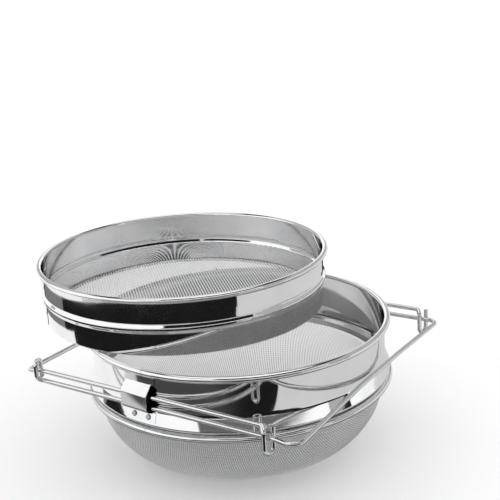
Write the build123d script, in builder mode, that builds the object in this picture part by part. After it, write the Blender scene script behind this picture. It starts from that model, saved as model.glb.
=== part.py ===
from build123d import *
import math
import os

os.makedirs("parts", exist_ok=True)

# A double strainer for honey: a flat coarse sieve that stands on, or nests in, a deep fine sieve.
# The fine sieve hangs from two wire bows that pull out to left and right to span a pail.
# Row frame: X along the legs of the bows, Y across them, Z up. The origin is on the axis of the
# lower hoop, at the bottom of its mesh bowl, which is what the strainer stands on.

# ---------------------------------------------------------------- driving dimensions, mm
sheet = 0.6                # stainless sheet of both hoops

# lower hoop: rim bead, straight band, flared skirt, waist and foot bead
rim_diameter = 240.0       # outside the rim bead
rim_bead = 2.6             # outer radius of the rolled rim
band_drop = 28.5           # rim bead's centre down to where the skirt starts
skirt_height = 10.9        # from the band down to the widest line of the skirt
skirt_flare = 4.0          # how far the skirt stands out from the band
waist_height = 2.7         # from that line down to the waist above the foot bead
foot_height = 2.6          # from the waist down to the foot bead's centre
foot_bead = 2.4            # outer radius of the rolled foot
foot_out = 3.6             # foot bead's centre, outwards from the band's middle surface
curl_gap = 0.3             # a bead's rolled edge stops this far from the band
seam_angle = -91.2         # where the lower hoop's ends meet
seam_gap = 0.5             # the notch that the joint leaves in the two beads
seam_skin = 0.2            # the notch stops this far outside the band

band_bend = 10.0           # bend radii of the strip: band to skirt, skirt's edge, waist
skirt_bend = 1.2
waist_bend = 1.0

wire_clearance = 0.05      # round the wire inside a rolled bead
cut_margin = 1.0           # a cut reaches at least this far past what it cuts

# fine mesh bowl
fine_mesh = 0.5            # thickness of the woven sheet
fine_skirt = 3.8           # upright edge of the mesh, inside the foot bead
bowl_step = 2.4            # the bowl starts this far inside its upright edge
bowl_step_drop = 1.4
bowl_depth = 61.0          # from the step to the bottom
bowl_shoulder = 55.0       # radius of the bowl's side
bowl_flat = 36.0           # radius of the flat it stands on
fine_ring_height = 4.2     # strip that holds the mesh's edge
fine_ring = 0.5            # its thickness

# upper hoop: rim bead, band with one rib, narrow flange turned in under the mesh
upper_bead = 2.25          # outer radius of the rolled rim
nest_clearance = 1.0       # between the upper band and the lower one when nested
upper_height = 43.0        # rim bead's centre down to the underside
rib_top = 18.9             # rib's edges, down from the rim bead's centre
rib_bottom = 25.5
rib_out = 1.6              # how far the rib stands out
rib_crest = 2.0            # height of the rib's flat crest
rib_foot_bend = 1.8        # bend radii of the rib, and of the flange
rib_crest_bend = 1.4
hem_bend = 0.8
hem_width = 4.2            # flange under the mesh's edge
lap_width = 8.0            # overlap where the upper hoop's ends meet
lap_angle = 232.0
lap_sheet = 0.3            # step of the overlap
lap_sink = 0.05            # the step starts this far inside the band, so that they join
lap_margin = 1.5           # the step stops this far short of the rib and the bottom
lap_rim_margin = 0.5       # and of the rim bead
coarse_mesh = 1.0          # thickness of the woven sheet: two wires
coarse_edge = 0.4          # the mesh stops this far short of the band, clear of the bend
seat_clearance = 0.05      # between pieces that lie against each other

# where the upper sieve stands on the lower rim, as it is set down off centre
upper_x = -54.7
upper_y = 6.5
rest_gap = 0.4

# wire bows
bow_wire = 3.5             # wire diameter
leg_gap = 0.85             # between each leg and the band
upper_leg_drop = 17.8      # left bow's legs, down from the rim bead's centre
lower_leg_drop = 25.7      # right bow's legs
lean_length = 14.0         # the last stretch of each leg, which may lean before the corner
lean_bend = 20.0           # bend radius where that stretch starts
bar_clearance = 1.2        # between the band and each cross bar, pushed in
left_bar_dip = 3.4         # the left cross bar sits lower than its legs
near_corner_spread = 3.5   # the right bow's near corner was bent wide
right_near_reach = 4.3     # its corners stand further out than the middle of its bar
right_far_reach = 2.3
bar_kinks = (-20.0, 40.0)  # where the right cross bar bends slightly, along Y
bow_corner = 8.0           # bend radius between a leg and the cross bar
kink_bend = 60.0           # bend radius of the slight bends in the right cross bar
hook_clearance = 0.3       # between a hook and the leg that it slides on
left_hook_near = 22.85     # the left bow's hooks start this far short of the right cross bar
left_hook_far = 15.35
right_hook_near = 17.85    # the right bow's hooks start this far short of the left cross bar
right_hook_far = 20.35
hook_skew = 2.5            # a hook's second strand is this much further out
left_hook_past = 11.1      # left bow's hooks reach this far below the right bow's legs
right_hook_past = 7.6      # right bow's hooks reach this far above the left bow's legs
hook_lead = 3.0            # length that the leg takes to step aside into the hook
hook_start_bend = 3.0      # bend radii of a hook: from the leg, then into its first strand
hook_strand_bend = 2.6
hook_straight = 0.2        # straight stretch in the hook's turn
hook_tip = 1.0             # a hook ends this far short of its own leg's height

# clips that hold the legs to the band, one near (-Y) and one far (+Y)
clip_turn = -4.5           # the clips sit this far round from the Y axis, degrees
clip_sheet = 0.7
clip_fit = 0.05            # between a clip and the hoop
clip_front_play = 2.0      # between the legs and the clip's front face
clip_over_play = 0.05      # above the upper leg, at the front face's top edge
clip_under_play = 0.45     # below the lower leg, at the front face's bottom edge
hat_length = 24.0
flange_length = 29.0
clip_top = 3.9             # down from the rim bead's centre
clip_crease = 9.2          # where the roof leaves the upper flange
clip_heel_drop = 2.1       # below the band's lower edge: where the floor meets the lower flange
clip_toe_drop = 8.7        # below the band's lower edge: bottom of the lower flange
clip_root_bend = 0.3       # bend radii: at the band, at the front's top and bottom edges
clip_bend = 1.0
clip_floor_bend = 4.0
rivet_fall = 5.5           # below the band's lower edge
rivet_spacing = 13.0
rivet_offset = 2.2         # the rivets sit off the clip's middle
rivet_shank = 1.2          # radius
rivet_head = 2.1           # radius
rivet_head_height = 0.8
rivet_tail = 1.8           # radius
rivet_tail_height = 0.5
rivet_draft = 25.0         # slope of a rivet head's side, degrees
rivet_clearance = 0.05

# weld spots on the upper hoop's overlap
weld_radius = 1.1
weld_height = 0.15
weld_draft = 30.0
weld_drops = (12.0, 33.0)  # down from the upper rim bead's centre
weld_inset = 4.0           # from the overlap's edge

# ---------------------------------------------------------------- worked out from those
bead_centre = rim_diameter / 2 - rim_bead            # radius of the rim bead's centre line
band_inside = bead_centre - rim_bead
band_middle = band_inside + sheet / 2
band_outside = band_inside + sheet
skirt_drop = band_drop + skirt_height                # drops are below the rim bead's centre
waist_drop = skirt_drop + waist_height
foot_drop = waist_drop + foot_height
skirt_middle = band_middle + skirt_flare
foot_centre = band_middle + foot_out
waist_middle = foot_centre - foot_bead + sheet / 2

fine_outside = waist_middle - sheet / 2 - seat_clearance
bowl_start = fine_outside - bowl_step
bowl_start_drop = waist_drop + fine_skirt + bowl_step_drop
rim_z = bowl_start_drop + bowl_depth                 # rim bead's centre above the bowl's bottom

upper_outside = band_inside - nest_clearance
upper_middle = upper_outside - sheet / 2
upper_inside = upper_outside - sheet
upper_bead_centre = upper_inside + upper_bead
upper_z = rim_z + rim_bead + rest_gap + upper_height # upper rim bead's centre
hem_z = upper_z - upper_height + sheet / 2
mesh_z = hem_z + sheet / 2 + seat_clearance

leg_radius = bow_wire / 2
leg_y = band_outside + leg_gap + leg_radius          # legs, each side of the axis
hook_offset = bow_wire + hook_clearance              # a hook's strands, each side of the leg
leg_spacing = lower_leg_drop - upper_leg_drop
upper_leg_z = rim_z - upper_leg_drop
lower_leg_z = rim_z - lower_leg_drop

# ---------------------------------------------------------------- helpers


def at(drop):
    """Height of a point given as a drop below the lower rim bead's centre."""
    return rim_z - drop


def curl(bead):
    """Degrees that a bead is rolled round, so that its edge stops curl_gap from the band."""
    return 360 - math.degrees(math.acos(1 - (sheet + curl_gap) / (bead - sheet / 2)))


def radial_plane(degrees, height=0.0, origin_x=0.0, origin_y=0.0):
    """Upright plane through a vertical axis: its x runs outwards and its y runs up."""
    out = (math.cos(math.radians(degrees)), math.sin(math.radians(degrees)), 0)
    side = (out[1], -out[0], 0)
    return Plane(origin=(origin_x, origin_y, height), x_dir=out, z_dir=side)


def bowl_outline(inset):
    """Closed half outline of the bowl's outer surface, moved inwards by inset."""
    edge = fine_outside - inset
    start = bowl_start - inset
    side = bowl_shoulder - inset
    side_centre = (bowl_start - bowl_shoulder, at(bowl_start_drop))
    reach = side_centre[0] - bowl_flat
    rise = bowl_depth - bowl_shoulder
    turn = 2 * math.degrees(math.atan2(reach, rise)) - 90
    extra = reach / math.cos(math.radians(turn))
    floor = bowl_shoulder + extra - inset
    floor_centre = (bowl_flat, at(bowl_start_drop + bowl_depth) + bowl_shoulder + extra)
    top = at(waist_drop) + inset
    shelf = at(waist_drop + fine_skirt)
    with BuildLine() as outline:
        Polyline((0, top), (edge, top), (edge, shelf), (start, side_centre[1]))
        CenterArc(side_centre, side, 0, -turn)
        CenterArc(floor_centre, floor, -turn, turn - 90)
        Polyline((bowl_flat, inset), (0, inset), (0, top))
    return outline.line


def hook(leg_x, leg_y_here, leg_z, out, reach):
    """Corner points of a hook that goes round the other bow's leg.

    The wire leaves its own leg at leg_x, steps aside to -Y, runs past the other leg, turns
    back round it, and returns beside it at +Y. out is +1 or -1 along X, and reach is the
    hook's height, with its sign.
    """
    first = leg_y_here - hook_offset
    second = leg_y_here + hook_offset
    lead = math.copysign(hook_lead, reach)           # the strand starts and ends clear of the leg
    start_x = leg_x + out * hook_lead
    end_x = start_x + out * hook_skew
    return [
        (leg_x, leg_y_here, leg_z),
        (start_x, first, leg_z + lead),
        (start_x, first, leg_z + reach),
        (end_x, second, leg_z + reach),
        (end_x, second, leg_z + math.copysign(hook_tip, reach)),
    ]


# ---------------------------------------------------------------- clip stations
near_clip = -90 + clip_turn
far_clip = 90 + clip_turn
clip_stations = {"front_clip": near_clip, "rear_clip": far_clip}
clip_front = leg_y + leg_radius + clip_front_play + clip_sheet / 2
clip_front_top = upper_leg_drop - leg_radius - clip_over_play
clip_front_bottom = lower_leg_drop + leg_radius + clip_under_play
clip_heel = band_drop + clip_heel_drop
clip_toe = band_drop + clip_toe_drop
rivet_drop = band_drop + rivet_fall
skirt_slope = math.atan2(skirt_flare, skirt_drop - band_drop)
skirt_at_rivet = band_middle + (rivet_drop - band_drop) * math.tan(skirt_slope)
rivet_turns = [
    math.degrees((rivet_offset + side * rivet_spacing / 2) / skirt_at_rivet)
    for side in (-1, 1)
]
skin = sheet / 2 / math.cos(skirt_slope)       # half the sheet, measured level, on the skirt


def rivet_plane(degrees):
    """Plane on the skirt's middle surface, with its z along the rivet, outwards."""
    out = (math.cos(math.radians(degrees)), math.sin(math.radians(degrees)))
    tilt = (math.cos(skirt_slope), math.sin(skirt_slope))
    return Plane(
        origin=(skirt_at_rivet * out[0], skirt_at_rivet * out[1], at(rivet_drop)),
        z_dir=(tilt[0] * out[0], tilt[0] * out[1], tilt[1]),
    )


# ---------------------------------------------------------------- lower sieve

# Lower hoop: one strip rolled into a ring, with a bead at the rim and at the foot. The strip's
# ends meet at the seam, which shows as a notch across both beads.
with BuildPart() as lower_hoop:
    with BuildSketch(Plane.XZ):
        with BuildLine():
            CenterArc((bead_centre, rim_z), rim_bead - sheet / 2, 180, -curl(rim_bead))
            FilletPolyline(
                (band_middle, rim_z),
                (band_middle, at(band_drop)),
                (skirt_middle, at(skirt_drop)),
                (waist_middle, at(waist_drop)),
                (waist_middle, at(foot_drop)),
                radius=(band_bend, skirt_bend, waist_bend),
            )
            CenterArc((foot_centre, at(foot_drop)), foot_bead - sheet / 2, 180, curl(foot_bead))
            offset(amount=sheet / 2, side=Side.BOTH)
        make_face()
    revolve(axis=Axis.Z)
    for centre, bead, drop in (
        (bead_centre, rim_bead, 0.0),
        (foot_centre, foot_bead, foot_drop),
    ):
        with BuildSketch(radial_plane(seam_angle)):
            with Locations((centre + sheet + seam_skin, at(drop))):
                Rectangle(2 * bead, 2 * bead + cut_margin)
        extrude(amount=seam_gap / 2, both=True, mode=Mode.SUBTRACT)
    for station in clip_stations.values():
        for turn in rivet_turns:
            with BuildSketch(rivet_plane(station + turn)):
                Circle(rivet_shank + rivet_clearance)
            extrude(amount=sheet + cut_margin, both=True, mode=Mode.SUBTRACT)
lower_hoop.part.label = "lower_hoop"

# Wires inside the two beads of the lower hoop: they keep the rolled edges round and stiff.
with BuildPart() as lower_rim_wire:
    with BuildSketch(Plane.XZ):
        with Locations((bead_centre, rim_z)):
            Circle(rim_bead - sheet - wire_clearance)
    revolve(axis=Axis.Z)
lower_rim_wire.part.label = "lower_rim_wire"

with BuildPart() as lower_foot_wire:
    with BuildSketch(Plane.XZ):
        with Locations((foot_centre, at(foot_drop))):
            Circle(foot_bead - sheet - wire_clearance)
    revolve(axis=Axis.Z)
lower_foot_wire.part.label = "lower_foot_wire"

# Fine mesh: pressed to a bowl with a flat bottom, with an upright edge inside the foot bead.
with BuildPart() as lower_mesh:
    with BuildSketch(Plane.XZ):
        make_face(bowl_outline(0))
    revolve(axis=Axis.Z)
    with BuildSketch(Plane.XZ):
        make_face(bowl_outline(fine_mesh))
    revolve(axis=Axis.Z, mode=Mode.SUBTRACT)
    with BuildSketch(Plane.XY.offset(at(waist_drop) - fine_mesh)):
        Circle(fine_outside - fine_mesh)
    extrude(amount=2 * fine_mesh, mode=Mode.SUBTRACT)
lower_mesh.part.label = "lower_mesh"

# Strip that holds the fine mesh's edge against the hoop.
fine_ring_outside = fine_outside - fine_mesh - seat_clearance
with BuildPart() as lower_mesh_ring:
    with BuildSketch(Plane.XY.offset(at(waist_drop + fine_skirt) + seat_clearance)):
        Circle(fine_ring_outside)
        Circle(fine_ring_outside - fine_ring, mode=Mode.SUBTRACT)
    extrude(amount=fine_ring_height)
lower_mesh_ring.part.label = "lower_mesh_ring"

# ---------------------------------------------------------------- clips and their rivets

# Clip: a sheet bent to a hat section over the two legs. Its flanges follow the band and the
# skirt, and its open ends let the legs slide through.
clips = {}
for name, station in clip_stations.items():
    half_turn = math.degrees(flange_length / 2 / band_outside)
    with BuildPart() as clip:
        with BuildSketch(radial_plane(station)):
            with BuildLine():
                FilletPolyline(
                    (band_outside - clip_sheet, at(clip_crease)),
                    (band_outside + clip_sheet / 2, at(clip_crease)),
                    (clip_front, at(clip_front_top)),
                    (clip_front, at(clip_front_bottom)),
                    (band_outside + clip_sheet / 2, at(clip_heel)),
                    (band_outside - clip_sheet, at(clip_heel)),
                    radius=(clip_root_bend, clip_bend, clip_floor_bend, clip_root_bend),
                )
                offset(amount=clip_sheet / 2, side=Side.BOTH)
            make_face()
        extrude(amount=hat_length / 2, both=True)
        flange_start = radial_plane(station - half_turn)
        with BuildSketch(flange_start):
            with Locations((band_outside + clip_sheet / 2, at((clip_top + clip_crease) / 2))):
                Rectangle(clip_sheet, clip_crease - clip_top + clip_sheet)
        revolve(axis=Axis.Z, revolution_arc=2 * half_turn)
        flare = math.tan(skirt_slope)
        heel_out = band_outside + (clip_heel - clip_sheet / 2 - band_drop) * flare
        toe_out = band_outside + clip_toe_drop * flare
        with BuildSketch(flange_start):
            with BuildLine():
                Polyline(
                    (heel_out, at(clip_heel - clip_sheet / 2)),
                    (toe_out, at(clip_toe)),
                    (toe_out + clip_sheet, at(clip_toe)),
                    (heel_out + clip_sheet, at(clip_heel - clip_sheet / 2)),
                    close=True,
                )
            make_face()
        revolve(axis=Axis.Z, revolution_arc=2 * half_turn)
        with BuildSketch(Plane.XZ):
            with BuildLine():
                Polyline(
                    (0, rim_z),
                    (band_outside + clip_fit, rim_z),
                    (band_outside + clip_fit, at(band_drop)),
                    (skirt_middle + skin + clip_fit, at(skirt_drop)),
                    (0, at(skirt_drop)),
                    close=True,
                )
            make_face()
        revolve(axis=Axis.Z, mode=Mode.SUBTRACT)
        for turn in rivet_turns:
            with BuildSketch(rivet_plane(station + turn)):
                Circle(rivet_shank + rivet_clearance)
            extrude(amount=sheet + clip_sheet + cut_margin, both=True, mode=Mode.SUBTRACT)
    clip.part.label = name
    clips[name] = clip

# Rivets: a shank through flange and skirt, a low head outside and a flat tail inside.
rivet_groups = {}
head_seat = sheet / 2 + clip_fit + clip_sheet + rivet_clearance
for name, station in clip_stations.items():
    with BuildPart() as rivets:
        for turn in rivet_turns:
            plane = rivet_plane(station + turn)
            with BuildSketch(plane.offset(-sheet / 2 - rivet_clearance)):
                Circle(rivet_shank)
            extrude(amount=head_seat + sheet / 2 + rivet_clearance)
            with BuildSketch(plane.offset(head_seat)):
                Circle(rivet_head)
            extrude(amount=rivet_head_height, taper=rivet_draft)
            with BuildSketch(plane.offset(-sheet / 2 - rivet_clearance)):
                Circle(rivet_tail)
            extrude(amount=-rivet_tail_height)
    rivets.part.label = name + "_rivets"
    rivet_groups[name + "_rivets"] = rivets

# ---------------------------------------------------------------- upper sieve

upper_axis = Axis((upper_x, upper_y, 0), (0, 0, 1))
upper_section = Plane(origin=(upper_x, upper_y, upper_z), x_dir=(1, 0, 0), z_dir=(0, -1, 0))

# Upper hoop: rolled rim, band with one rib that stops it on the lower rim when nested, and a
# narrow flange turned in under the mesh. The band's ends overlap at the lap.
with BuildPart() as upper_hoop:
    with BuildSketch(upper_section):
        with BuildLine():
            CenterArc((upper_bead_centre, 0), upper_bead - sheet / 2, 180, -curl(upper_bead))
            FilletPolyline(
                (upper_middle, 0),
                (upper_middle, -rib_top),
                (upper_middle + rib_out, (-rib_top - rib_bottom + rib_crest) / 2),
                (upper_middle + rib_out, (-rib_top - rib_bottom - rib_crest) / 2),
                (upper_middle, -rib_bottom),
                (upper_middle, sheet / 2 - upper_height),
                (upper_outside - hem_width, sheet / 2 - upper_height),
                radius=(rib_foot_bend, rib_crest_bend, rib_crest_bend, rib_foot_bend, hem_bend),
            )
            offset(amount=sheet / 2, side=Side.BOTH)
        make_face()
    revolve(axis=upper_axis)
    lap_half = math.degrees(lap_width / 2 / upper_outside)
    for high, low in (
        (upper_bead + lap_rim_margin, rib_top - lap_margin),
        (rib_bottom + lap_margin, upper_height - lap_margin),
    ):
        with BuildSketch(radial_plane(lap_angle - lap_half, upper_z, upper_x, upper_y)):
            with Locations((upper_outside + (lap_sheet - lap_sink) / 2, -(low + high) / 2)):
                Rectangle(lap_sheet + lap_sink, low - high)
        revolve(axis=upper_axis, revolution_arc=2 * lap_half)
    with BuildSketch(radial_plane(lap_angle - lap_half, upper_z, upper_x, upper_y)):
        with Locations((upper_bead_centre + sheet + seam_skin, 0)):
            Rectangle(2 * upper_bead, 2 * upper_bead + cut_margin)
    extrude(amount=seam_gap / 2, both=True, mode=Mode.SUBTRACT)
upper_hoop.part.label = "upper_hoop"

with BuildPart() as upper_rim_wire:
    with BuildSketch(upper_section):
        with Locations((upper_bead_centre, 0)):
            Circle(upper_bead - sheet - wire_clearance)
    revolve(axis=upper_axis)
upper_rim_wire.part.label = "upper_rim_wire"

# Coarse mesh: a flat disc of woven wire that lies on the flange.
coarse_radius = upper_inside - coarse_edge
with BuildPart() as upper_mesh:
    with BuildSketch(Plane.XY.offset(mesh_z)):
        with Locations((upper_x, upper_y)):
            Circle(coarse_radius)
    extrude(amount=coarse_mesh)
upper_mesh.part.label = "upper_mesh"

# Weld spots that hold the overlap.
with BuildPart() as upper_lap_welds:
    weld_turn = math.degrees((weld_inset - lap_width / 2) / upper_outside)
    for drop in weld_drops:
        plane = radial_plane(lap_angle + weld_turn, upper_z - drop, upper_x, upper_y)
        face = Plane(
            origin=plane.origin + plane.x_dir * (upper_outside + lap_sheet),
            z_dir=plane.x_dir,
        )
        with BuildSketch(face):
            Circle(weld_radius)
        extrude(amount=weld_height, taper=weld_draft)
upper_lap_welds.part.label = "upper_lap_welds"

# ---------------------------------------------------------------- wire bows

# Bend radii of a hook, from its leg to its tip. The two bends at its far end leave a short
# straight stretch between them.
turn_bend = hook_offset - hook_straight / 2
hook_radii = [hook_start_bend, hook_strand_bend, turn_bend, turn_bend]
left_bar = -(band_outside + bar_clearance + leg_radius)
right_bar = -left_bar

# Left bow: it holds the upper legs, its cross bar is at the left, and its hooks hang round the
# right bow's legs. The cross bar sits a little lower than the legs.
left_reach = -(leg_spacing + left_hook_past)
left_near = hook(right_bar - left_hook_near, -leg_y, upper_leg_z, 1, left_reach)
left_far = hook(right_bar - left_hook_far, leg_y, upper_leg_z, 1, left_reach)
left_points = left_near[::-1] + [
    (left_bar + lean_length, -leg_y, upper_leg_z),
    (left_bar, -leg_y, upper_leg_z - left_bar_dip),
    (left_bar, leg_y, upper_leg_z - left_bar_dip),
    (left_bar + lean_length, leg_y, upper_leg_z),
] + left_far
left_radii = hook_radii[::-1] + [lean_bend, bow_corner, bow_corner, lean_bend] + hook_radii

# Right bow: it holds the lower legs, its cross bar is at the right, and its hooks stand up round
# the left bow's legs. Its near corner is bent wide and its cross bar is not quite straight.
right_reach = leg_spacing + right_hook_past
right_near = hook(left_bar + right_hook_near, -leg_y, lower_leg_z, -1, right_reach)
right_far = hook(left_bar + right_hook_far, leg_y, lower_leg_z, -1, right_reach)
right_points = right_near[::-1] + [
    (right_bar - lean_length, -leg_y, lower_leg_z),
    (right_bar + right_near_reach, -leg_y - near_corner_spread, lower_leg_z),
    (right_bar, bar_kinks[0], lower_leg_z),
    (right_bar, bar_kinks[1], lower_leg_z),
    (right_bar + right_far_reach, leg_y, lower_leg_z),
] + right_far
right_radii = hook_radii[::-1] + [lean_bend, bow_corner, kink_bend, kink_bend, bow_corner]
right_radii += hook_radii

bows = {}
for name, points, radii in (
    ("left_bow", left_points, left_radii),
    ("right_bow", right_points, right_radii),
):
    with BuildPart() as wire_bow:
        with BuildLine() as route:
            FilletPolyline(*points, radius=radii)
        with BuildSketch(Plane(origin=route.line @ 0, z_dir=route.line % 0)):
            Circle(leg_radius)
        sweep()
    wire_bow.part.label = name
    bows[name] = wire_bow
    print(name, "wire length", round(sum(run.length for run in route.edges()), 1))

# ---------------------------------------------------------------- write the pieces
pieces = [lower_hoop, lower_rim_wire, lower_foot_wire, lower_mesh, lower_mesh_ring]
pieces += [upper_hoop, upper_rim_wire, upper_mesh, upper_lap_welds]
pieces += list(clips.values()) + list(rivet_groups.values()) + list(bows.values())
for piece in pieces:
    export_step(piece.part, f"parts/{piece.part.label}.step")
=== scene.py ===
# %% [markdown]
# A double strainer for honey, dressed in Blender
# ===============================================
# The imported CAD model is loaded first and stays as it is. This lesson adds what CAD leaves out:
# real woven wire in place of the two flat mesh sheets, a steel finish for each kind of piece,
# and a small white studio round it all.

import math

import bpy
import numpy as np
from mathutils import Matrix, Vector


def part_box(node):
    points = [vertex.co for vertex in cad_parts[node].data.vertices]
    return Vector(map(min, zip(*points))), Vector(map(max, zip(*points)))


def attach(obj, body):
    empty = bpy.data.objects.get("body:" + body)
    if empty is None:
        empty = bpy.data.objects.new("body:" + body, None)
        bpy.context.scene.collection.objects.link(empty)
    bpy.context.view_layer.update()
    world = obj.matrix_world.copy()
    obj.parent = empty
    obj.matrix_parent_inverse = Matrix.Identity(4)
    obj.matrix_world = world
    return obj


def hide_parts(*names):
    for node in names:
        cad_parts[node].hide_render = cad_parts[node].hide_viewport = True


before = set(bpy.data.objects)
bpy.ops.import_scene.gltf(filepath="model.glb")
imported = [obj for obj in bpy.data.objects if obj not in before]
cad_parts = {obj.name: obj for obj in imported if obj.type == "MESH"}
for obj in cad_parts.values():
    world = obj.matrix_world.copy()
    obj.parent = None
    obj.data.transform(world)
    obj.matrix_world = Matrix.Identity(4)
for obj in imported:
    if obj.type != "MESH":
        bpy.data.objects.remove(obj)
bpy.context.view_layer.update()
MM = 0.001

# %% [markdown]
# The camera comes first, because every finish is judged through it. It stands a little above
# the rims and looks down by seventeen degrees, turned a third of a right angle round from the
# wire legs. A camera looks along its own -Z axis, so its matrix is built from three directions:
# right, up and back. The roll tips the horizon slightly, as a hand-held camera does.

# %% Camera
view_turn = math.radians(33.44)       # round from looking along +Y
view_height = math.radians(17.09)     # above the horizon
view_roll = math.radians(-3.20)
view_distance = 0.7672
aim_right, aim_up = 0.0099, 0.0535    # from the rim's middle to the point in the view's middle
lens = 69.6

rim_middle = Vector((0, 0, 0.1083))
back = Vector((
    math.cos(view_height) * math.sin(view_turn),
    -math.cos(view_height) * math.cos(view_turn),
    math.sin(view_height),
))
level_right = Vector((math.cos(view_turn), math.sin(view_turn), 0))
level_up = back.cross(level_right)
right = math.cos(view_roll) * level_right + math.sin(view_roll) * level_up
up = back.cross(right)

camera = bpy.data.objects.new("camera", bpy.data.cameras.new("camera"))
camera.data.lens = lens
camera.data.clip_end = 100
turn = Matrix((right, up, back)).transposed()
spot = rim_middle + aim_right * right + aim_up * up + view_distance * back
camera.matrix_world = Matrix.Translation(spot) @ turn.to_4x4()
bpy.context.scene.collection.objects.link(camera)
bpy.context.scene.camera = camera
print("camera at", [round(x, 3) for x in spot])

# %% [markdown]
# Every new piece is a table of points worked out with numpy and handed to a mesh in one go.
# This helper does that, puts the finish on and links the piece to the scene.


# %% Helper: numbers into a mesh
def new_mesh(name, points, faces, finish):
    """A mesh from an (n, 3) table of points and an (m, k) table of corner numbers."""
    mesh = bpy.data.meshes.new(name)
    mesh.from_pydata(points, [], faces.tolist())
    mesh.polygons.foreach_set("use_smooth", np.ones(len(faces), bool))
    mesh.materials.append(finish)
    mesh.update()
    thing = bpy.data.objects.new(name, mesh)
    bpy.context.scene.collection.objects.link(thing)
    return thing


# %% [markdown]
# Polished stainless steel is nearly a mirror. What tells it from a perfect one is small: the
# sheet is a little wavy, so reflections swim; rolling leaves fine lines round the hoop; handling
# leaves faint smears. All of it is in the roughness and the bump, while the colour stays close
# to one light grey. The noise reads Object coordinates, in metres, so its scale is a real size.


# %% Helper: noise in a finish
def noise(tree, vector, scale, detail):
    """A noise texture with about scale bumps to the metre, read at vector."""
    texture = tree.nodes.new("ShaderNodeTexNoise")
    texture.inputs["Scale"].default_value = scale
    texture.inputs["Detail"].default_value = detail
    tree.links.new(vector, texture.inputs["Vector"])
    return texture.outputs["Fac"]


def bump(tree, height, distance):
    """A bump node that raises the surface by distance where height is 1."""
    node = tree.nodes.new("ShaderNodeBump")
    node.inputs["Distance"].default_value = distance
    tree.links.new(height, node.inputs["Height"])
    return node


# %% Helper: one steel finish
smear_scale, wave_scale = 38, 55      # smears and waves to the metre
smear_low, smear_high = 0.42, 0.72    # noise values between which the roughness rises
tint_low, tint_high = 0.30, 0.62      # and between which the tone does
shaded = (0.93, 0.935, 0.95)          # the tone's share of red, green and blue in a smear


def steel(name, tone, rough, smear, wave, line_depth=0.0, line_stretch=(1, 1, 1), metal=1.0):
    """Metal whose roughness runs from rough to rough + smear, with waves and drawn lines.

    The wave and the lines are heights in metres, and line_stretch gives the lines to the metre
    along X, Y and Z. Below 1, metal leaves part of the surface matt, as on wire with a pickled
    white skin.
    """
    finish = bpy.data.materials.new(name)
    finish.use_nodes = True
    tree = finish.node_tree
    link = tree.links.new
    shader = tree.nodes["Principled BSDF"]
    shader.inputs["Metallic"].default_value = metal
    place = tree.nodes.new("ShaderNodeTexCoord").outputs["Object"]
    smears = noise(tree, place, smear_scale, 4)

    spread = tree.nodes.new("ShaderNodeMapRange")
    spread.inputs["From Min"].default_value = smear_low
    spread.inputs["From Max"].default_value = smear_high
    spread.inputs["To Min"].default_value = rough
    spread.inputs["To Max"].default_value = rough + smear
    link(smears, spread.inputs["Value"])
    link(spread.outputs["Result"], shader.inputs["Roughness"])

    tint = tree.nodes.new("ShaderNodeValToRGB")
    first, last = tint.color_ramp.elements
    first.color, first.position = (*[tone * share for share in shaded], 1), tint_low
    last.color, last.position = (tone, tone, tone, 1), tint_high
    link(smears, tint.inputs["Fac"])
    link(tint.outputs["Color"], shader.inputs["Base Color"])

    swell = bump(tree, noise(tree, place, wave_scale, 1), wave)
    if line_depth:
        squeeze = tree.nodes.new("ShaderNodeMapping")
        squeeze.inputs["Scale"].default_value = line_stretch
        link(place, squeeze.inputs["Vector"])
        drawn = bump(tree, noise(tree, squeeze.outputs["Vector"], 1, 3), line_depth)
        link(swell.outputs["Normal"], drawn.inputs["Normal"])
        swell = drawn
    link(swell.outputs["Normal"], shader.inputs["Normal"])
    return finish


# %% [markdown]
# Each kind of piece has its own finish. The rolled hoops are the brightest, with fine lines that
# run round them; drawn wire is a little rougher; rivet heads are darker. In both cloths the long
# wires are whiter, and the cross wires are a darker copy of the same steel: that darkness is
# painted shade, standing in for the dark gaps between the rows, so the rows show from a distance.

# %% Steel finishes
finishes = {
    "hoop_steel": steel("polished hoop", 0.86, 0.045, 0.05, 0.00002, 0.000002, (40, 40, 1500)),
    "rim_wire_steel": steel("drawn core wire", 0.72, 0.25, 0.1, 0.00001),
    "bow_wire_steel": steel("drawn bow wire", 0.78, 0.05, 0.06, 0.00001),
    "clip_steel": steel("pressed clip", 0.84, 0.07, 0.08, 0.00003),
    "rivet_steel": steel("rivet heads", 0.42, 0.18, 0.12, 0.00002),
    "coarse_mesh_steel": steel("coarse woven wire", 0.97, 0.35, 0.08, 0.000005, metal=0.35),
    # painted shade: the coarse cross wire is the same steel as the long wires, given a darker
    # tone
    "coarse_weft_shade_steel": steel("coarse cross wire with painted shade", 0.45, 0.30, 0.1, 0.000005),
    "fine_mesh_steel": steel("fine woven wire", 0.95, 0.28, 0.1, 0.000005, metal=0.6),
    # painted shade: the fine cross wire is the same steel as the long wires, given a darker tone
    "fine_weft_shade_steel": steel("fine cross wire with painted shade", 0.36, 0.28, 0.1, 0.000005),
    "mesh_ring_steel": steel("mesh binding strip", 0.82, 0.14, 0.12, 0.00002),
}
print("finishes", sorted(finishes))

# %% [markdown]
# The CAD pieces keep their meshes and get a finish by their slot in the record.

# %% Finishes on the CAD pieces
slots = {
    "hoop_steel": ["lower_hoop", "upper_hoop"],
    "rim_wire_steel": ["lower_rim_wire", "lower_foot_wire", "upper_rim_wire"],
    "bow_wire_steel": ["left_bow", "right_bow"],
    "clip_steel": ["front_clip", "rear_clip"],
    "rivet_steel": ["front_clip_rivets", "rear_clip_rivets", "upper_lap_welds"],
    "mesh_ring_steel": ["lower_mesh_ring"],
}
for slot_name, nodes in slots.items():
    for node in nodes:
        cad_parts[node].data.materials.clear()
        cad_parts[node].data.materials.append(finishes[slot_name])
        print(node, "is finished in", finishes[slot_name].name)

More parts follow.
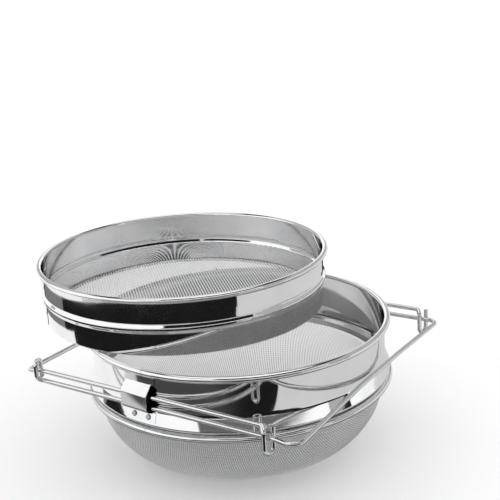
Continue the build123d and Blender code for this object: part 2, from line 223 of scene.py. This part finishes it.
# %% [markdown]
# Woven wire is two sets of wires at right angles, each passing over and under the other by
# turns. It could be a picture with holes in it, but then it would be flat from every side. Here
# each wire is a real tube. It is drawn straight, in a flat cloth, where a point is (along,
# across, height); then the whole cloth is laid on the sieve's surface by a second function.


# %% Helper: one set of wires of a plain weave
def wires(name, lay, reach, pitch, thickness, crimp, first, sides, finish):
    """Tubes of a plain weave, cut to a disc.

    Station k of wire i is k pitches along it, at height crimp times cos(pi (k + i)), so
    neighbours rise where it falls. The second set has the opposite sign, which puts it under
    the first wherever that is on top. Round each station stand the corners of a polygon, and
    a fan of flat faces closes each end of a wire.
    """
    count = int(reach / pitch) + 1
    line = np.arange(-count, count + 1)
    wire, step = np.meshgrid(line, line, indexing="ij")
    along, aside = step * pitch, wire * pitch
    inside = np.hypot(along, aside) < reach
    height = (crimp if first else -crimp) * np.cos(np.pi * (step + wire))
    corner = 2 * np.pi * np.arange(sides) / sides
    across = aside[..., None] + thickness / 2 * np.cos(corner)
    high = height[..., None] + thickness / 2 * np.sin(corner)
    along = np.repeat(along[..., None], sides, axis=-1)
    cloth = (along, across) if first else (across, along)
    points = lay(*cloth, high)[inside].reshape(-1, 3)

    number = np.full(inside.shape, -1)
    number[inside] = np.arange(inside.sum())
    run = inside[:, :-1] & inside[:, 1:]
    start, end = number[:, :-1][run], number[:, 1:][run]
    here = np.arange(sides)
    there = (here + 1) % sides
    quads = np.stack([
        start[:, None] * sides + here,
        start[:, None] * sides + there,
        end[:, None] * sides + there,
        end[:, None] * sides + here,
    ], axis=-1).reshape(-1, 4)
    before = np.pad(run, ((0, 0), (1, 0)))[:, :-1]
    after = np.pad(run, ((0, 0), (0, 1)))[:, 1:]
    begins, ends = number[:, :-1][run & ~before], number[:, 1:][run & ~after]
    fan = np.array([(0, k, k + 1, k + 2) for k in range(1, sides - 2, 2)])
    caps = np.concatenate([
        begins[:, None, None] * sides + fan[:, ::-1],
        ends[:, None, None] * sides + fan,
    ]).reshape(-1, 4)
    quads = np.concatenate([quads, caps])
    if not first:
        quads = quads[:, ::-1]
    piece = new_mesh(name, points, quads, finish)
    print(name, len(line), "wires,", 2 * len(quads), "triangles")
    return piece


# %% [markdown]
# The coarse sieve is a flat disc of wires that stand a little over two millimetres apart. It
# lies on the narrow flange of the upper hoop. The long wires are thick and nearly straight, and
# the thin cross wires bend over and under them. Both sets fit in the millimetre of the sheet
# that they replace.

# %% Coarse mesh
low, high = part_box("upper_mesh")
coarse_middle = (low + high) / 2
coarse_reach = (high.x - low.x) / 2
coarse_turn = math.radians(-45.0)
coarse_pitch, coarse_sides = 2.35 * MM, 6


def lay_flat(u, v, height):
    """Turns the cloth by coarse_turn and moves its middle to the sieve's axis."""
    x = coarse_middle.x + u * math.cos(coarse_turn) - v * math.sin(coarse_turn)
    y = coarse_middle.y + u * math.sin(coarse_turn) + v * math.cos(coarse_turn)
    return np.stack([x, y, coarse_middle.z + height], axis=-1)


for name, first, thickness, crimp, finish in (
    ("coarse_warp", True, 0.92 * MM, 0.04 * MM, finishes["coarse_mesh_steel"]),
    ("coarse_weft", False, 0.30 * MM, 0.33 * MM, finishes["coarse_weft_shade_steel"]),
):
    piece = wires(name, lay_flat, coarse_reach, coarse_pitch, thickness, crimp,
                  first, coarse_sides, finish)
    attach(piece, "upper_sieve")
    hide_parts("upper_mesh")

# %% [markdown]
# The fine sieve is pressed into a bowl: a flat bottom, a wide floor arc, a rounded shoulder, a
# small step, and an upright edge inside the foot bead. Its profile is worked out as a list of
# (radius, height) points. A cloth point at distance s from the middle goes to the place s along
# the profile, in the same direction round, so the cells keep their length up the side.

# %% Fine mesh: profile
low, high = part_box("lower_mesh")
half_sheet = 0.25 * MM
edge_radius = (high.x - low.x) / 2 - half_sheet
edge_top = high.z
upright, step_in, step_down = 3.8 * MM, 2.4 * MM, 1.4 * MM
shoulder, flat = 55 * MM, 36 * MM
floor_points, side_points = 40, 60
start_radius = edge_radius - step_in
side_x, side_z = start_radius - (shoulder - half_sheet), edge_top - upright - step_down
reach = side_x - flat
rise = side_z + half_sheet - shoulder
shoulder_turn = 2 * math.atan2(reach, rise) - math.pi / 2
extra = reach / math.cos(shoulder_turn)
floor_radius = shoulder + extra - half_sheet
sweep = np.linspace(-math.pi / 2, -shoulder_turn, floor_points)
floor_arc = np.stack([flat + floor_radius * np.cos(sweep),
                      half_sheet + floor_radius + floor_radius * np.sin(sweep)], axis=-1)
sweep = np.linspace(-shoulder_turn, 0, side_points)
side_arc = np.stack([side_x + (shoulder - half_sheet) * np.cos(sweep),
                     side_z + (shoulder - half_sheet) * np.sin(sweep)], axis=-1)
profile = np.concatenate([
    [[0, half_sheet]], floor_arc, side_arc[1:],
    [[edge_radius, edge_top - upright], [edge_radius, edge_top]],
])
steps = np.diff(profile, axis=0)
distance = np.concatenate([[0], np.cumsum(np.hypot(*steps.T))])
lean = np.unwrap(np.arctan2(*steps.T[::-1]))
lean = np.interp(distance, (distance[:-1] + distance[1:]) / 2, lean)
print("fine mesh reaches", round(distance[-1] / MM, 1), "mm along the bowl")

# %% [markdown]
# The fine cloth is the same weave, laid along that profile. Its wires have four sides, because
# there are tens of thousands of crossings and each is under half a millimetre.

# %% Fine mesh: wires
fine_pitch, fine_wire, fine_crimp, fine_sides = 1.8 * MM, 0.44 * MM, 0.04 * MM, 4
fine_turn = math.radians(20.0)
nearly_zero = 1e-9                    # keeps the middle point off a division by zero


def lay_in_bowl(u, v, height):
    """Lays cloth point (u, v) on the bowl, with height measured square to its surface."""
    s = np.maximum(np.hypot(u, v), nearly_zero)
    angle = np.arctan2(v, u) + fine_turn
    tilt = np.interp(s, distance, lean)
    radius = np.interp(s, distance, profile[:, 0]) - height * np.sin(tilt)
    z = np.interp(s, distance, profile[:, 1]) + height * np.cos(tilt)
    return np.stack([radius * np.cos(angle), radius * np.sin(angle), z], axis=-1)


for name, first, finish in (
    ("fine_warp", True, finishes["fine_mesh_steel"]),
    ("fine_weft", False, finishes["fine_weft_shade_steel"]),
):
    piece = wires(name, lay_in_bowl, distance[-1], fine_pitch, fine_wire, fine_crimp,
                  first, fine_sides, finish)
    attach(piece, "lower_sieve")
    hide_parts("lower_mesh")

# %% [markdown]
# The studio is a white room: a pale floor that runs out of sight and a white sky, so polished
# steel reads as white.

# %% Floor and sky
def matt_paint(name, tone, rough=1.0):
    """Matt paint of one tone."""
    paint = bpy.data.materials.new(name)
    paint.use_nodes = True
    shader = paint.node_tree.nodes["Principled BSDF"]
    shader.inputs["Base Color"].default_value = (tone, tone, tone, 1)
    shader.inputs["Roughness"].default_value = rough
    shader.inputs["Specular IOR Level"].default_value = 0.0
    return paint


span, sky_strength = 40.0, 1.15       # metres to the floor's edge, and the sky's brightness
floor = new_mesh(
    "studio_floor",
    np.array([[-span, -span, 0], [span, -span, 0], [span, span, 0], [-span, span, 0]]),
    np.array([[0, 1, 2, 3]]),
    matt_paint("studio paper", 0.93, 0.9),
)

sky = bpy.data.worlds.new("studio sky")
sky.use_nodes = True
sky.node_tree.nodes["Background"].inputs["Color"].default_value = (1, 1, 1, 1)
sky.node_tree.nodes["Background"].inputs["Strength"].default_value = sky_strength
bpy.context.scene.world = sky
bpy.context.scene.view_settings.view_transform = "Standard"
print("floor and sky are white")

# %% [markdown]
# What draws the shape of polished steel is the dark that it reflects. In a studio, black cards
# stand just out of view for that, and here they are curved cards round the strainer that only
# mirror reflections can see. They could be real objects in the room, but then they would also
# throw shadows and tint the floor.

# %% Helper: paints for the cards
def fading_paint(name, left_tone, right_tone, left, right):
    """Matt paint that fades from left_tone to right_tone.

    The fade follows x cos(view_turn) + y sin(view_turn), the distance to the camera's right,
    and runs from left to right, in metres.
    """
    paint = matt_paint(name, right_tone)
    tree = paint.node_tree
    place = tree.nodes.new("ShaderNodeTexCoord")
    across = tree.nodes.new("ShaderNodeVectorMath")
    across.operation = "DOT_PRODUCT"
    across.inputs[1].default_value = (math.cos(view_turn), math.sin(view_turn), 0)
    fade = tree.nodes.new("ShaderNodeMapRange")
    fade.interpolation_type = "SMOOTHSTEP"
    fade.inputs["From Min"].default_value = left
    fade.inputs["From Max"].default_value = right
    fade.inputs["To Min"].default_value = left_tone
    fade.inputs["To Max"].default_value = right_tone
    tree.links.new(place.outputs["Object"], across.inputs[0])
    tree.links.new(across.outputs["Value"], fade.inputs["Value"])
    tree.links.new(fade.outputs["Result"], tree.nodes["Principled BSDF"].inputs["Base Color"])
    return paint


darkest = 0.012
black, ashen = matt_paint("black card", darkest), matt_paint("ashen card", 0.13)
dim, cloudy = matt_paint("dim card", 0.22), matt_paint("cloudy card", 0.45)
grey = matt_paint("grey card", 0.62)
smoky = fading_paint("smoky card", 0.075, darkest, -0.09, 0.02)
print("six card paints")

# %% Helper: one card
card_points = 160                     # points along each edge of a card
corner_lift = 0.9                     # how much of a card's height its rounded corners take


def card(name, near, far, start, end, bottom, top, paint=black, corner=0.0):
    """Part of a drum or cone round the axis, seen only in reflections.

    Its lower edge is an arc of radius near at height bottom, its upper edge one of radius far
    at height top, and both run from angle start to end, round from the camera's side. Over the
    last corner degrees at both ends the lower edge rises along a quarter circle.
    """
    turned = np.linspace(start, end, card_points)
    angle = view_turn - math.pi / 2 + np.radians(turned)
    inside = np.minimum(turned - start, end - turned)
    into = np.clip(1 - inside / corner, 0, 1) if corner else np.zeros(card_points)
    rise = corner_lift * (top - bottom) * (1 - np.sqrt(1 - into ** 2))
    ring = np.stack([np.cos(angle), np.sin(angle)], axis=-1)
    points = np.concatenate([
        np.column_stack([near * ring, bottom + rise]),
        np.column_stack([far * ring, np.full(card_points, top)]),
    ])
    here = np.arange(card_points - 1)
    above = here + card_points
    faces = np.stack([here, here + 1, above + 1, above], axis=-1)
    thing = new_mesh(name, points, faces, paint)
    thing.visible_camera = False
    thing.visible_diffuse = False
    thing.visible_shadow = False
    thing.visible_transmission = False


# %% [markdown]
# The rows below read: name, lower and upper radius, first and last angle, lower and upper
# height, paint, rounded corner. Three cards in front draw the black patches on the two bands,
# and three behind do the same for a view from the back. The skirt, ring, under and horizon cards
# give beads and wires their dark edges, and the sky and floor cards grade the rest.

# %% Cards
card("upper_card", 0.330, 0.330, -97, 0, 0.041, 0.074)
card("upper_end_card", 0.330, 0.330, -1, 36, 0.041, 0.100)
card("middle_card", 0.332, 0.332, -88, 35, 0.010, 0.0408, black, 9)
card("lower_card", 0.250, 0.250, -66, 22, 0.002, 0.050, smoky, 12)
card("left_card", 0.331, 0.331, -128, -95, 0.041, 0.074, dim)
card("skirt_card", 0.600, 0.600, -34, 58, 0.165, 0.290, ashen, 9)
card("ring_card", 0.350, 0.350, -180, 180, 0.50, 0.74)
card("under_card", 0.100, 0.200, -180, 180, 0.0006, 0.0007, dim)
card("back_upper_card", 0.330, 0.330, 150, 225, 0.041, 0.100)
card("back_middle_card", 0.332, 0.332, 145, 220, 0.010, 0.0408, black, 9)
card("back_lower_card", 0.250, 0.250, 158, 214, 0.002, 0.050, smoky, 12)
card("floor_card", 0.210, 0.900, -80, 165, 0.0010, 0.0011, grey)
card("horizon_card", 1.200, 1.200, -60, 80, 0.0, 0.16)
card("sky_card", 1.200, 1.200, -20, 62, 0.85, 2.2)
card("right_sky_card", 1.200, 0.700, 62, 168, 0.16, 1.50, cloudy)
card("left_sky_card", 1.200, 0.700, -165, -115, 0.30, 1.50, cloudy)
